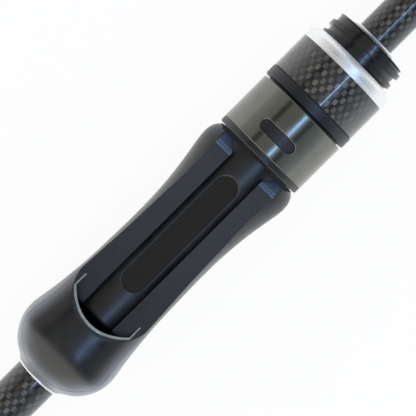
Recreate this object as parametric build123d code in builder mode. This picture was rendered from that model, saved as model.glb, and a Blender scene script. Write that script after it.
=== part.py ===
from build123d import *
from math import cos, pi, radians, sin
import os

os.makedirs("parts", exist_ok=True)

# The rod lies along +X, from the butt's end face at the origin to the tip.
# +Z is the side that carries the reel's foot and the line guides.

# ---------------------------------------------------------------- driving dimensions, mm
ROD_LENGTH = 1830.0
SEAT_X = 262.0            # rear face of the reel seat
SEAT_LENGTH = 112.9
FERRULE_X = 930.0         # where the tip section meets the butt section

HANDLE_TUBE_R = 5.7
BLANK_R = 4.7             # bare blank in the handle and under the woven layer
WOVEN_R = 5.05
BORE_R = 5.6              # bore of the seat
RAIL_Z = 7.6              # plane of the two rails that carry the reel's foot
TROUGH_HALF = 4.8         # half the distance between the rails
POCKET_HALF = 9.2         # half the width of the fixed hood's pocket
THREAD_PITCH = 3.0
THREAD_ROOT_R = 9.7
THREAD_CREST_R = 10.5
HOOD_HALF = 12.45
HOOD_TOP = 15.0           # the sliding hood stands higher on the foot's side
HOOD_SQUARENESS = 2.0     # 2 is an ellipse
NUT_R = 12.72
OVERRUN = 1.0             # how far a cut runs past the face it opens


def at(x):
    """Station along the rod of a place measured from the seat's rear face."""
    return SEAT_X + x


def spans(edge, axis, low, high, slack=0.06):
    """Whether an edge's extent along an axis runs from low to high."""
    box = edge.bounding_box()
    ends = getattr(box.min, axis), getattr(box.max, axis)
    return abs(ends[0] - low) < slack and abs(ends[1] - high) < slack


def save(part, name):
    part.label = name
    export_step(part, f"parts/{name}.step")


def turned(points, round_edges=0.0, lowest_round=0.0):
    """Solid turned about the rod's axis from (x, radius) points; edges beyond lowest_round are rounded."""
    with BuildPart() as piece:
        with BuildSketch(Plane.XZ):
            with BuildLine():
                Polyline(*points, close=True)
            make_face()
        revolve(axis=Axis.X)
        if round_edges:
            rims = [e for e in piece.edges().filter_by(GeomType.CIRCLE) if e.radius > lowest_round]
            fillet(rims, round_edges)
    return piece.part


def tube(start, end, outer, inner, round_edges=0.0):
    points = [(start, inner), (start, outer), (end, outer), (end, inner)]
    return turned(points, round_edges, inner + 0.01)


# ---------------------------------------------------------------- reel seat
# station, half-width, top height, bottom depth, squareness of the upper half
SEAT_STATIONS = [
    (0.0, 6.3, 6.3, 6.3, 2.0),
    (0.8, 7.2, 7.3, 7.1, 2.0),
    (2.1, 9.1, 9.3, 8.7, 2.1),
    (3.8, 10.8, 11.1, 10.2, 2.2),
    (6.1, 12.2, 12.5, 11.4, 2.4),
    (8.5, 13.05, 13.45, 12.1, 2.6),
    (11.3, 13.35, 13.75, 12.5, 2.45),
    (15.6, 12.75, 13.35, 12.5, 2.45),
    (20.4, 12.1, 13.0, 12.4, 2.65),
    (27.5, 11.4, 13.3, 12.2, 3.1),
    (35.0, 11.1, 13.6, 12.0, 2.8),
    (44.2, 10.95, 13.6, 11.8, 2.45),
    (52.0, 11.15, 12.8, 11.9, 2.3),
    (58.5, 11.75, 11.6, 12.1, 2.15),
    (63.4, 12.5, 11.3, 12.5, 2.0),
    (67.6, 13.2, 10.6, 13.0, 2.0),
    (70.4, 13.3, 10.5, 13.1, 2.0),
    (72.2, 12.8, 10.4, 12.6, 2.0),
    (73.8, 11.4, 10.5, 11.3, 2.0),
]
OUTLINE_STEPS = 24
VISOR_SLOPE = 1.53        # the hood's mouth leans back this much along X for each mm of height
VISOR_FOOT = 26.0         # where the leaning mouth meets the rails
RAIL_ROUND = 0.2          # rounding of the rails' edges and of the hood's mouth
TROUGH_R = 11.0           # round floor of the trough between the rails
TROUGH_TOP = 7.25         # its highest line
POCKET_END = 10.0
POCKET_FLOOR_Z = 7.5      # a shade below the rails, so that their face ends at the mouth
CHANNEL_Z = 7.5           # flat on the barrel
GROOVE_Z = 6.5            # floor of the groove along the barrel's flat
GROOVE_START = 73.4
POCKET_SIDE_TOP = 10.0    # height at which the pocket's sides turn into its roof
POCKET_ROOF = 12.75
LINER_THICKNESS = 0.35
LINER_PROUD = 0.12
LINER_CORNER = 0.6        # how far the liner's upper corners come down for each mm of its thickness
WINDOW_START = 30.0
WINDOW_END = 66.3
WINDOW_HALF = 2.8
WINDOW_FLOOR_Z = 6.0
WINDOW_TOP_Z = 6.3
WINDOW_RIM_ROUND = 0.45
RAIL_END = 69.5
RAIL_STEPS = [(69.95, 0.2), (70.4, 0.25), (70.75, 0.45)]   # two small bevels: station, drop below the rail
RAIL_RAMP_END = 72.85
RAIL_RAMP_DROP = 1.05
PAST_SHOULDER = 80.0      # cuts over the rails run on to here
RAIL_CORNER_START = 70.3
RAIL_CORNER_HALF = 7.3
RAIL_CORNER_FLOOR = 6.0
GAP_FLOOR = 5.0           # floor of the gap behind the sliding hood
CHANNEL_END = 104.0
BARREL_START = 74.2
NECK_START = 72.0
NECK_R = 10.9             # a short neck closes the gap behind the sliding hood
NECK_END = 74.6
THREAD_START = 86.0
THREAD_END = 111.0
LIP_START = 111.95
LIP_END = 112.3
LIP_HEIGHT = 0.2
FRONT_FACE_R = 6.4        # the barrel's front falls to here in a low cone
BARREL_THREAD = [(-0.3, -0.95), (0.8, -0.65), (0.8, 0.65), (-0.3, 0.95)]
FLAT_DEPTH = 8.0          # depth of the cut that makes the barrel's flat
TUBE_SOCKET = 6.0         # how far the handle's tube reaches into the seat
BLANK_COLLAR = 110.5      # where the bore closes on the blank
REAR_ARBOR = (8.0, 48.0)
FRONT_ARBOR = (66.0, 109.0)
REAR_RING_LENGTH = 0.55
REAR_RING_R = 6.2
ABOVE = 25.0              # higher than anything on the seat


def superellipse(half_width, top, bottom, squareness):
    """Closed outline round the rod's axis: squarish above the centre line, elliptical below it."""
    points = []
    for step in range(OUTLINE_STEPS):
        angle = 2 * pi * step / OUTLINE_STEPS
        c, s = cos(angle), sin(angle)
        power = 2 / squareness if s > 0 else 1.0
        height = top if s > 0 else bottom
        y = half_width * abs(c) ** power * (1 if c >= 0 else -1)
        z = height * abs(s) ** power * (1 if s >= 0 else -1)
        points.append((y, z))
    return points


def visor_x(z):
    return at(VISOR_FOOT - VISOR_SLOPE * (z - RAIL_Z))


def pocket_prism(start, end, inset=0.0):
    """The fixed hood's pocket: upright sides under a low arched roof, from one station to another."""
    half = POCKET_HALF - inset
    side = POCKET_SIDE_TOP - inset * LINER_CORNER
    with BuildPart() as prism:
        with BuildSketch(Plane.YZ.offset(at(start))):
            with BuildLine():
                Line((-half, POCKET_FLOOR_Z), (half, POCKET_FLOOR_Z))
                Line((half, POCKET_FLOOR_Z), (half, side))
                ThreePointArc((half, side), (0, POCKET_ROOF - inset), (-half, side))
                Line((-half, side), (-half, POCKET_FLOOR_Z))
            make_face()
        extrude(amount=end - start)
    return prism.part


# close on the handle tube, then on the arbors, then on the blank
seat_bore = turned([
    (at(-OVERRUN), 0), (at(-OVERRUN), HANDLE_TUBE_R), (at(TUBE_SOCKET), HANDLE_TUBE_R),
    (at(TUBE_SOCKET), BORE_R), (at(BLANK_COLLAR), BORE_R), (at(BLANK_COLLAR), BLANK_R),
    (at(SEAT_LENGTH + OVERRUN), BLANK_R), (at(SEAT_LENGTH + OVERRUN), 0),
])

with BuildSketch(Plane.XY.offset(WINDOW_FLOOR_Z)) as window_outline:
    with Locations(((at(WINDOW_START) + at(WINDOW_END)) / 2, 0)):
        SlotOverall(WINDOW_END - WINDOW_START, 2 * WINDOW_HALF)

with BuildPart() as seat_window_plate:
    add(window_outline.sketch)
    extrude(amount=WINDOW_TOP_Z - WINDOW_FLOOR_Z)
save(seat_window_plate.part, "seat_window_plate")

with BuildPart() as window_recess:
    add(window_outline.sketch)
    extrude(amount=RAIL_Z - WINDOW_FLOOR_Z)


def thread_ridge(start, end, profile):
    """Helical ridge; profile is a list of (distance out from the root radius, distance along the helix)."""
    with BuildPart() as ridge:
        with BuildLine():
            path = Helix(
                THREAD_PITCH, end - start, THREAD_ROOT_R, center=(at(start), 0, 0), direction=(1, 0, 0)
            )
        begin = path @ 0
        outward = Vector(0, begin.Y, begin.Z).normalized()
        with BuildSketch(Plane(origin=begin, x_dir=outward, z_dir=path % 0)):
            with BuildLine():
                Polyline(*profile, close=True)
            make_face()
        sweep(is_frenet=True)
    return ridge.part


with BuildPart() as threaded_barrel:
    # barrel, lip and the low cone of its front, all in one outline
    add(turned([
        (at(BARREL_START), 0), (at(BARREL_START), THREAD_ROOT_R), (at(LIP_START), THREAD_ROOT_R),
        (at(LIP_START + LIP_HEIGHT), THREAD_ROOT_R + LIP_HEIGHT), (at(LIP_END), THREAD_ROOT_R + LIP_HEIGHT),
        (at(SEAT_LENGTH), FRONT_FACE_R), (at(SEAT_LENGTH), 0),
    ]))
    add(thread_ridge(THREAD_START, THREAD_END, BARREL_THREAD))
    # flat for the reel's foot and for the hood's key, with a groove along it
    with BuildSketch(Plane.YZ.offset(at(BARREL_START))):
        with Locations((0, CHANNEL_Z)):
            Rectangle(2 * THREAD_CREST_R, FLAT_DEPTH, align=(Align.CENTER, Align.MIN))
        with Locations((0, GROOVE_Z)):
            Rectangle(2 * TROUGH_HALF, FLAT_DEPTH, align=(Align.CENTER, Align.MIN))
    extrude(amount=CHANNEL_END - BARREL_START, mode=Mode.SUBTRACT)

with BuildPart() as seat_body:
    for station, half_width, top, bottom, squareness in SEAT_STATIONS:
        with BuildSketch(Plane.YZ.offset(at(station))):
            with BuildLine():
                Spline(*superellipse(half_width, top, bottom, squareness), periodic=True)
            make_face()
    loft()
    add(turned([(at(NECK_START), 0), (at(NECK_START), NECK_R), (at(NECK_END), NECK_R), (at(NECK_END), 0)]))
    # everything above the rails, in front of the leaning mouth
    with BuildSketch(Plane.XZ.offset(-ABOVE)):
        with BuildLine():
            Polyline(
                (visor_x(RAIL_Z), RAIL_Z), (visor_x(ABOVE), ABOVE),
                (at(PAST_SHOULDER), ABOVE), (at(PAST_SHOULDER), RAIL_Z), close=True,
            )
        make_face()
    extrude(amount=2 * ABOVE, mode=Mode.SUBTRACT)
    # the rails' front ends: two small bevels, a ramp and a drop to the gap behind the sliding hood
    for side in (-1, 1):
        with BuildSketch(Plane.XZ.offset(side * TROUGH_HALF)):
            with BuildLine():
                Polyline(
                    (at(RAIL_END), RAIL_Z), *[(at(station), RAIL_Z - drop) for station, drop in RAIL_STEPS],
                    (at(RAIL_RAMP_END), RAIL_Z - RAIL_RAMP_DROP), (at(RAIL_RAMP_END), GAP_FLOOR),
                    (at(PAST_SHOULDER), GAP_FLOOR), (at(PAST_SHOULDER), ABOVE),
                    (at(RAIL_END), ABOVE), close=True,
                )
            make_face()
        extrude(amount=side * ABOVE, mode=Mode.SUBTRACT)
    # round-floored trough between the rails
    with BuildSketch(Plane.YZ.offset(at(POCKET_END))):
        with Locations((0, RAIL_Z)):
            Rectangle(2 * TROUGH_HALF, 2 * (RAIL_Z - GAP_FLOOR))
        with Locations((0, TROUGH_TOP - TROUGH_R)):
            Circle(TROUGH_R, mode=Mode.SUBTRACT)
    extrude(amount=NECK_END - POCKET_END, mode=Mode.SUBTRACT)
    # the trough's round floor ends in an edge, where the lower groove of the barrel begins
    with BuildSketch(Plane.YZ.offset(at(GROOVE_START))):
        with Locations((0, GROOVE_Z)):
            Rectangle(2 * TROUGH_HALF, RAIL_Z - GROOVE_Z, align=(Align.CENTER, Align.MIN))
    extrude(amount=NECK_END - GROOVE_START, mode=Mode.SUBTRACT)
    add(threaded_barrel.part)
    # the rails' inner corners, cut away towards the sliding hood
    with BuildSketch(Plane.XY.offset(RAIL_CORNER_FLOOR)):
        for side in (-1, 1):
            with BuildLine():
                Polyline(
                    (at(RAIL_CORNER_START), side * TROUGH_HALF),
                    (at(RAIL_RAMP_END), side * RAIL_CORNER_HALF),
                    (at(RAIL_RAMP_END), side * TROUGH_HALF), close=True,
                )
            make_face()
    extrude(amount=RAIL_Z - RAIL_CORNER_FLOOR + OVERRUN, mode=Mode.SUBTRACT)
    # edges that the mould leaves rounded
    long_rail_edges = [
        e for e in seat_body.edges()
        if spans(e, "Z", RAIL_Z, RAIL_Z) and e.length > RAIL_END - VISOR_FOOT - 2
    ]
    outer_rail_edges = [e for e in long_rail_edges if abs(e.center().Y) > TROUGH_HALF + 2]
    inner_rail_edges = [e for e in long_rail_edges if abs(e.center().Y) < TROUGH_HALF + 2]
    hood_mouth = [e for e in seat_body.edges() if e.length > 30 and spans(e, "Z", RAIL_Z, POCKET_ROOF, 1.0)]
    fillet(outer_rail_edges + hood_mouth, RAIL_ROUND)
    fillet(inner_rail_edges, RAIL_ROUND)
    # pocket under the hood
    add(pocket_prism(POCKET_END, VISOR_FOOT), mode=Mode.SUBTRACT)
    add(window_recess.part, mode=Mode.SUBTRACT)
    window_rim = [
        e for e in seat_body.edges()
        if e.bounding_box().min.X > at(WINDOW_START) - 0.1 and e.bounding_box().max.X < at(WINDOW_END) + 0.1
        and abs(e.center().Y) < WINDOW_HALF + 0.1 and e.bounding_box().min.Z > WINDOW_TOP_Z
    ]
    fillet(window_rim, WINDOW_RIM_ROUND)
    add(seat_bore, mode=Mode.SUBTRACT)
save(seat_body.part, "seat_body")

with BuildPart() as fixed_hood_liner:
    add(pocket_prism(POCKET_END, VISOR_FOOT))
    add(pocket_prism(POCKET_END, VISOR_FOOT, LINER_THICKNESS), mode=Mode.SUBTRACT)
    with BuildSketch(Plane.XZ.offset(-ABOVE)):
        with BuildLine():
            Polyline(
                (visor_x(RAIL_Z) + LINER_PROUD, RAIL_Z), (visor_x(ABOVE) + LINER_PROUD, ABOVE),
                (at(PAST_SHOULDER), ABOVE), (at(PAST_SHOULDER), RAIL_Z), close=True,
            )
        make_face()
    extrude(amount=2 * ABOVE, mode=Mode.SUBTRACT)
save(fixed_hood_liner.part, "fixed_hood_liner")

save(tube(at(-REAR_RING_LENGTH), SEAT_X, REAR_RING_R, HANDLE_TUBE_R, 0.2), "seat_rear_ring")
save(tube(at(REAR_ARBOR[0]), at(REAR_ARBOR[1]), BORE_R, BLANK_R), "seat_arbor_rear")
save(tube(at(FRONT_ARBOR[0]), at(FRONT_ARBOR[1]), BORE_R, BLANK_R), "seat_arbor_front")

# ---------------------------------------------------------------- sliding hood
HOOD_START = 74.0
HOOD_SHELL_START = 75.6
HOOD_END = 89.05
SHELL_THICKNESS = 0.7
SHELL_ROUND = 0.3
FLANGE_INSET = 0.05
FLANGE_ROUND = 0.5
HOOD_BORE_R = 10.65
HOOD_RELIEF_R = 11.1      # wider mouth of the bore, over the barrel's neck
HOOD_RELIEF_END = 75.1
HOOD_POCKET_END = 87.0
HOOD_POCKET_HALF = 7.6
HOOD_POCKET_SIDE = 10.1
HOOD_POCKET_ROOF = 12.9
HOOD_KEY_Z = 7.75         # underside of the key that rides on the barrel's flat
SLOT_START = 79.1
SLOT_END = 82.2
SLOT_HALF = 5.1
SLOT_ROUND = 0.18
SLOT_PRISM_Z = 8.0        # the slot's prism starts here, inside the insert
COLLAR_END = 91.9         # the collar turns inside the nut
COLLAR_R = 11.2
SNAP_RING_R = 11.0
SNAP_RING_HEIGHT = 0.55
SNAP_RING_START = 90.95   # a ring in the collar's groove holds the nut to the hood
SNAP_RING_END = 91.45
SNAP_RING_PLAY = 0.05
SNAP_RING_GAP = 3.0


def hood_prism(start, end, inset):
    """The sliding hood's outline, taller above the axis, pulled in by inset, between two stations."""
    outline = superellipse(HOOD_HALF - inset, HOOD_TOP - inset, HOOD_HALF - inset, HOOD_SQUARENESS)
    with BuildPart() as prism:
        with BuildSketch(Plane.YZ.offset(at(start))):
            with BuildLine():
                Spline(*outline, periodic=True)
            make_face()
        extrude(amount=end - start)
    return prism.part


with BuildPart() as slot_prism:
    with BuildSketch(Plane.XY.offset(SLOT_PRISM_Z)):
        with Locations((at((SLOT_START + SLOT_END) / 2), 0)):
            SlotOverall(2 * SLOT_HALF, SLOT_END - SLOT_START, rotation=90)
    extrude(amount=HOOD_TOP + OVERRUN - SLOT_PRISM_Z)

with BuildPart() as hood_shell:
    add(hood_prism(HOOD_SHELL_START, HOOD_END, 0))
    fillet(hood_shell.faces().filter_by(Axis.X).edges(), SHELL_ROUND)
    add(hood_prism(HOOD_SHELL_START, HOOD_END, SHELL_THICKNESS), mode=Mode.SUBTRACT)
    add(slot_prism.part, mode=Mode.SUBTRACT)
    slot_rim = [
        e for e in hood_shell.edges()
        if e.bounding_box().min.X > at(SLOT_START) - 0.1 and e.bounding_box().max.X < at(SLOT_END) + 0.1
        and ((e @ 0.5).Y / HOOD_HALF) ** 2 + ((e @ 0.5).Z / HOOD_TOP) ** 2 > 0.99
    ]
    fillet(slot_rim, SLOT_ROUND)
save(hood_shell.part, "hood_shell")

with BuildPart() as slot_boss:
    add(slot_prism.part)
    add(hood_prism(HOOD_START, HOOD_END, SHELL_THICKNESS / 2), mode=Mode.INTERSECT)

with BuildPart() as hood_insert:
    add(hood_prism(HOOD_START, HOOD_SHELL_START, FLANGE_INSET))
    fillet(hood_insert.faces().filter_by(Axis.X).sort_by(Axis.X)[0].edges(), FLANGE_ROUND)
    add(hood_prism(HOOD_SHELL_START, HOOD_END, SHELL_THICKNESS))
    add(slot_boss.part)
    add(tube(at(HOOD_END - OVERRUN), at(COLLAR_END), COLLAR_R, HOOD_BORE_R - OVERRUN))
    groove_start = at(SNAP_RING_START - SNAP_RING_PLAY)
    groove_end = at(SNAP_RING_END + SNAP_RING_PLAY)
    add(tube(groove_start, groove_end, COLLAR_R + OVERRUN, SNAP_RING_R), mode=Mode.SUBTRACT)
    # bore over the neck and the barrel, all round in the pocket and below the key in front of it
    with BuildSketch(Plane.YZ.offset(at(HOOD_START))):
        Circle(HOOD_RELIEF_R)
    extrude(amount=HOOD_RELIEF_END - HOOD_START, mode=Mode.SUBTRACT)
    with BuildSketch(Plane.YZ.offset(at(HOOD_START))):
        Circle(HOOD_BORE_R)
    extrude(amount=HOOD_POCKET_END - HOOD_START, mode=Mode.SUBTRACT)
    with BuildSketch(Plane.YZ.offset(at(HOOD_POCKET_END))):
        Circle(HOOD_BORE_R)
        with Locations((0, HOOD_KEY_Z)):
            Rectangle(2 * HOOD_HALF, FLAT_DEPTH, align=(Align.CENTER, Align.MIN), mode=Mode.SUBTRACT)
    extrude(amount=HOOD_END - HOOD_POCKET_END, mode=Mode.SUBTRACT)
    with BuildSketch(Plane.YZ.offset(at(HOOD_END))):
        Circle(HOOD_BORE_R)
    extrude(amount=COLLAR_END - HOOD_END, mode=Mode.SUBTRACT)
    # pocket for the front toe of the reel's foot
    with BuildSketch(Plane.YZ.offset(at(HOOD_START))):
        with BuildLine():
            Line((-HOOD_POCKET_HALF, 0), (HOOD_POCKET_HALF, 0))
            Line((HOOD_POCKET_HALF, 0), (HOOD_POCKET_HALF, HOOD_POCKET_SIDE))
            ThreePointArc(
                (HOOD_POCKET_HALF, HOOD_POCKET_SIDE), (0, HOOD_POCKET_ROOF),
                (-HOOD_POCKET_HALF, HOOD_POCKET_SIDE),
            )
            Line((-HOOD_POCKET_HALF, HOOD_POCKET_SIDE), (-HOOD_POCKET_HALF, 0))
        make_face()
    extrude(amount=HOOD_POCKET_END - HOOD_START, mode=Mode.SUBTRACT)
save(hood_insert.part, "hood_insert")

with BuildPart() as hood_snap_ring:
    add(tube(at(SNAP_RING_START), at(SNAP_RING_END), SNAP_RING_R + SNAP_RING_HEIGHT, SNAP_RING_R))
    # the gap that lets it spring open
    with BuildSketch(Plane.YZ.offset(at(SNAP_RING_START))):
        with Locations((0, -SNAP_RING_R)):
            Rectangle(SNAP_RING_GAP, SNAP_RING_GAP)
    extrude(amount=SNAP_RING_END - SNAP_RING_START, mode=Mode.SUBTRACT)
save(hood_snap_ring.part, "hood_snap_ring")

# ---------------------------------------------------------------- lock nut
NUT_START = 89.55
NUT_FLANGE_END = 92.65
NUT_SLEEVE_END = 102.5
NUT_END = 106.2
NUT_BORE_R = 10.6
NUT_CORE_R = 11.9
NUT_SPIGOT_R = 11.6       # the core's front end, inside the ring
NUT_SLEEVE_R = 12.68
NUT_FLANGE_ROUND = 0.3
NUT_COLLAR_R = 11.3       # turns on the hood's collar
NUT_COLLAR_END = 92.2
NUT_GROOVE_R = 11.65      # clears the snap ring
NUT_GROOVE = (90.8, 91.6)
NUT_RING_FACE = 1.2       # thickness of the ring in front of the core
NUT_RING_CHAMFER = (1.4, 1.75)
NUT_THREAD_START = THREAD_START + 3.5 * THREAD_PITCH   # half a turn out of step with the barrel's ridge
NUT_THREAD = [(0.25, -0.35), (1.2, -0.55), (1.2, 0.55), (0.25, 0.35)]

with BuildPart() as nut_core:
    add(turned([
        (at(NUT_START), NUT_COLLAR_R), (at(NUT_START), NUT_R - NUT_FLANGE_ROUND),
        (at(NUT_START + NUT_FLANGE_ROUND), NUT_R), (at(NUT_FLANGE_END - NUT_FLANGE_ROUND), NUT_R),
        (at(NUT_FLANGE_END), NUT_R - NUT_FLANGE_ROUND), (at(NUT_FLANGE_END), NUT_CORE_R),
        (at(NUT_SLEEVE_END), NUT_CORE_R), (at(NUT_SLEEVE_END), NUT_SPIGOT_R),
        (at(NUT_END - NUT_RING_FACE), NUT_SPIGOT_R), (at(NUT_END - NUT_RING_FACE), NUT_BORE_R),
        (at(NUT_COLLAR_END), NUT_BORE_R), (at(NUT_COLLAR_END), NUT_COLLAR_R),
        (at(NUT_GROOVE[1]), NUT_COLLAR_R), (at(NUT_GROOVE[1]), NUT_GROOVE_R),
        (at(NUT_GROOVE[0]), NUT_GROOVE_R), (at(NUT_GROOVE[0]), NUT_COLLAR_R),
    ]))
    add(thread_ridge(NUT_THREAD_START, NUT_THREAD_START + 2 * THREAD_PITCH, NUT_THREAD))
save(nut_core.part, "nut_core")

save(tube(at(NUT_FLANGE_END), at(NUT_SLEEVE_END), NUT_SLEEVE_R, NUT_CORE_R), "nut_sleeve")

save(turned([
    (at(NUT_SLEEVE_END), NUT_SPIGOT_R), (at(NUT_SLEEVE_END), NUT_R - 0.15),
    (at(NUT_SLEEVE_END + 0.15), NUT_R), (at(NUT_END - NUT_RING_CHAMFER[0]), NUT_R),
    (at(NUT_END), NUT_R - NUT_RING_CHAMFER[1]), (at(NUT_END), NUT_BORE_R),
    (at(NUT_END - NUT_RING_FACE), NUT_BORE_R), (at(NUT_END - NUT_RING_FACE), NUT_SPIGOT_R),
]), "nut_ring")

# ---------------------------------------------------------------- handle
TUBE_START = 4.0          # the handle's tube starts inside the butt cap
CAP_FACE_R = 10.8
CAP_R = 12.4
GRIP_START = 10.0
GRIP_PARALLEL_END = 76.0
GRIP_END = 98.0
GRIP_R = 12.5
GRIP_FRONT_R = 9.0
GRIP_RING_END = 102.5

save(turned([
    (0, 0), (0, CAP_FACE_R), (0.6, 11.9), (1.8, CAP_R), (9.2, CAP_R), (GRIP_START, 11.8),
    (GRIP_START, HANDLE_TUBE_R), (TUBE_START, HANDLE_TUBE_R), (TUBE_START, 0),
]), "butt_cap")

with BuildPart() as rear_grip:
    with BuildSketch(Plane.XZ):
        with BuildLine():
            Polyline(
                (GRIP_END, GRIP_FRONT_R), (GRIP_END, HANDLE_TUBE_R), (GRIP_START, HANDLE_TUBE_R),
                (GRIP_START, GRIP_R - 0.6), (GRIP_START + 0.6, GRIP_R), (GRIP_PARALLEL_END, GRIP_R),
            )
            Spline(
                (GRIP_PARALLEL_END, GRIP_R), (GRIP_END, GRIP_FRONT_R), tangents=[(1, 0), (1, -0.15)]
            )
        make_face()
    revolve(axis=Axis.X)
save(rear_grip.part, "rear_grip")

save(tube(GRIP_END, GRIP_RING_END, GRIP_FRONT_R + 0.2, HANDLE_TUBE_R, 0.7), "rear_grip_ring")
save(tube(TUBE_START, at(TUBE_SOCKET), HANDLE_TUBE_R, BLANK_R), "handle_tube")

# ---------------------------------------------------------------- blank and ferrule
WOVEN_END = 560.0
TRIM_LENGTH = 10.0
CHECK_LENGTH = 0.6        # the winding check in front of the seat
SPIGOT_R = 2.0
BUTT_BORE_R = 3.6
SPIGOT_START = 850.0
SPIGOT_END = 995.0
BUTT_END_R = 3.1
FERRULE_GAP = 6.0         # bare spigot between the two sections
TIP_START = FERRULE_X + FERRULE_GAP
TIP_BORE_R = 2.05
TIP_BLANK_END = ROD_LENGTH - 6.0
TIP_R = 0.8
FERRULE_WRAP_LENGTH = 16.0
RESIN_EDGE = 0.12         # how thick a thread wrap's resin is where it ends


def blank_radius(x):
    """Outer radius of the bare blank at a place along the rod."""
    if x < WOVEN_END:
        return BLANK_R
    if x < FERRULE_X:
        return BLANK_R + (BUTT_END_R - BLANK_R) * (x - WOVEN_END) / (FERRULE_X - WOVEN_END)
    return BUTT_END_R + (TIP_R - BUTT_END_R) * (x - TIP_START) / (TIP_BLANK_END - TIP_START)


butt_outline = [
    (TUBE_START, 0), (TUBE_START, BLANK_R), (WOVEN_END, BLANK_R),
    (FERRULE_X, BUTT_END_R), (FERRULE_X, 0),
]
tip_outline = [(TIP_START, 0), (TIP_START, BUTT_END_R), (TIP_BLANK_END, TIP_R), (TIP_BLANK_END, 0)]
butt_solid = turned(butt_outline)
tip_solid = turned(tip_outline)
sleeve_solid = turned([
    (at(SEAT_LENGTH), 0), (at(SEAT_LENGTH), WOVEN_R), (WOVEN_END, WOVEN_R), (WOVEN_END, 0)
])

with BuildPart() as butt_blank:
    add(butt_solid)
    add(turned([
        (TUBE_START, 0), (TUBE_START, BUTT_BORE_R), (WOVEN_END, BUTT_BORE_R), (SPIGOT_START, SPIGOT_R),
        (FERRULE_X, SPIGOT_R), (FERRULE_X, 0),
    ]), mode=Mode.SUBTRACT)
save(butt_blank.part, "butt_blank")

check_start = at(SEAT_LENGTH)
check_end = check_start + CHECK_LENGTH
save(tube(check_end, WOVEN_END, WOVEN_R, BLANK_R), "woven_sleeve")
save(turned([
    (check_start, BLANK_R), (check_start, 6.1), (check_start + 0.15, 6.2),
    (check_end, 5.5), (check_end, BLANK_R),
]), "front_winding_check")
trim_end = WOVEN_END + TRIM_LENGTH
save(turned([
    (WOVEN_END, BLANK_R), (WOVEN_END, WOVEN_R), (WOVEN_END + 0.8, 5.1), (trim_end - 2, 5.05),
    (trim_end, 4.75), (trim_end, blank_radius(trim_end)),
]), "sleeve_trim_band")

save(turned([
    (SPIGOT_START, 0), (SPIGOT_START, SPIGOT_R), (SPIGOT_END - 1, SPIGOT_R),
    (SPIGOT_END, SPIGOT_R - 0.6), (SPIGOT_END, 0),
]), "ferrule_spigot")

with BuildPart() as tip_blank:
    add(tip_solid)
    add(turned([
        (TIP_START, 0), (TIP_START, TIP_BORE_R), (SPIGOT_END + 5, TIP_BORE_R), (SPIGOT_END + 5, 1.8),
        (TIP_BLANK_END, TIP_R / 2), (TIP_BLANK_END, 0),
    ]), mode=Mode.SUBTRACT)
save(tip_blank.part, "tip_blank")


def wrap(start, end, height, lift=0.0):
    """Thread band round the blank under its resin; lift moves its centre up over a guide's foot."""
    slope = min(2.5, (end - start) / 4)
    low, high = blank_radius(start), blank_radius(end)
    with BuildPart() as band:
        with BuildSketch(Plane.XZ):
            with BuildLine():
                Polyline(
                    (start, lift), (start, low + RESIN_EDGE), (start + slope, lift + low + height),
                    (end - slope, lift + high + height), (end, high + RESIN_EDGE), (end, lift),
                    close=True,
                )
            make_face()
        revolve(axis=Axis((0, 0, lift), (1, 0, 0)))
        add(butt_solid if start < FERRULE_X else tip_solid, mode=Mode.SUBTRACT)
    return band.part


save(wrap(FERRULE_X - FERRULE_WRAP_LENGTH, FERRULE_X, 0.3), "butt_ferrule_wrap")
save(wrap(TIP_START, TIP_START + FERRULE_WRAP_LENGTH, 0.3), "tip_ferrule_wrap")

# ---------------------------------------------------------------- hook keeper
KEEPER_X = 436.0
KEEPER_WIRE_R = 0.45
KEEPER_DROP = 3.2
KEEPER_WRAP_X = 7.2       # each band's middle, from the keeper's
KEEPER_WRAP_HALF = 3.0
KEEPER_WRAP_SLOPE = 1.2
KEEPER_WRAP_LIFT = 0.4    # the bands are centred this far towards the wire
keeper_base = 0.05 - WOVEN_R - KEEPER_WIRE_R
keeper_low = keeper_base - KEEPER_DROP

with BuildPart() as hook_keeper:
    with BuildLine():
        keeper_path = FilletPolyline(
            (KEEPER_X - 9, 0, keeper_base), (KEEPER_X - 4.5, 0, keeper_base),
            (KEEPER_X - 2.8, 0, keeper_low), (KEEPER_X + 2.8, 0, keeper_low),
            (KEEPER_X + 4.5, 0, keeper_base), (KEEPER_X + 9, 0, keeper_base), radius=1.1,
        )
    with BuildSketch(Plane(origin=keeper_path @ 0, z_dir=keeper_path % 0)):
        Circle(KEEPER_WIRE_R)
    sweep()
    add(sleeve_solid, mode=Mode.SUBTRACT)
save(hook_keeper.part, "hook_keeper")

with BuildPart() as hook_keeper_wrap:
    for middle in (KEEPER_X - KEEPER_WRAP_X, KEEPER_X + KEEPER_WRAP_X):
        start, end = middle - KEEPER_WRAP_HALF, middle + KEEPER_WRAP_HALF
        with BuildSketch(Plane.XZ):
            with BuildLine():
                Polyline(
                    (start, -KEEPER_WRAP_LIFT), (start, WOVEN_R - 0.3),
                    (start + KEEPER_WRAP_SLOPE, WOVEN_R + 0.35), (end - KEEPER_WRAP_SLOPE, WOVEN_R + 0.35),
                    (end, WOVEN_R - 0.3), (end, -KEEPER_WRAP_LIFT), close=True,
                )
            make_face()
        revolve(axis=Axis((0, 0, -KEEPER_WRAP_LIFT), (1, 0, 0)))
    add(sleeve_solid, mode=Mode.SUBTRACT)
    add(hook_keeper.part, mode=Mode.SUBTRACT)
save(hook_keeper_wrap.part, "hook_keeper_wrap")

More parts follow.
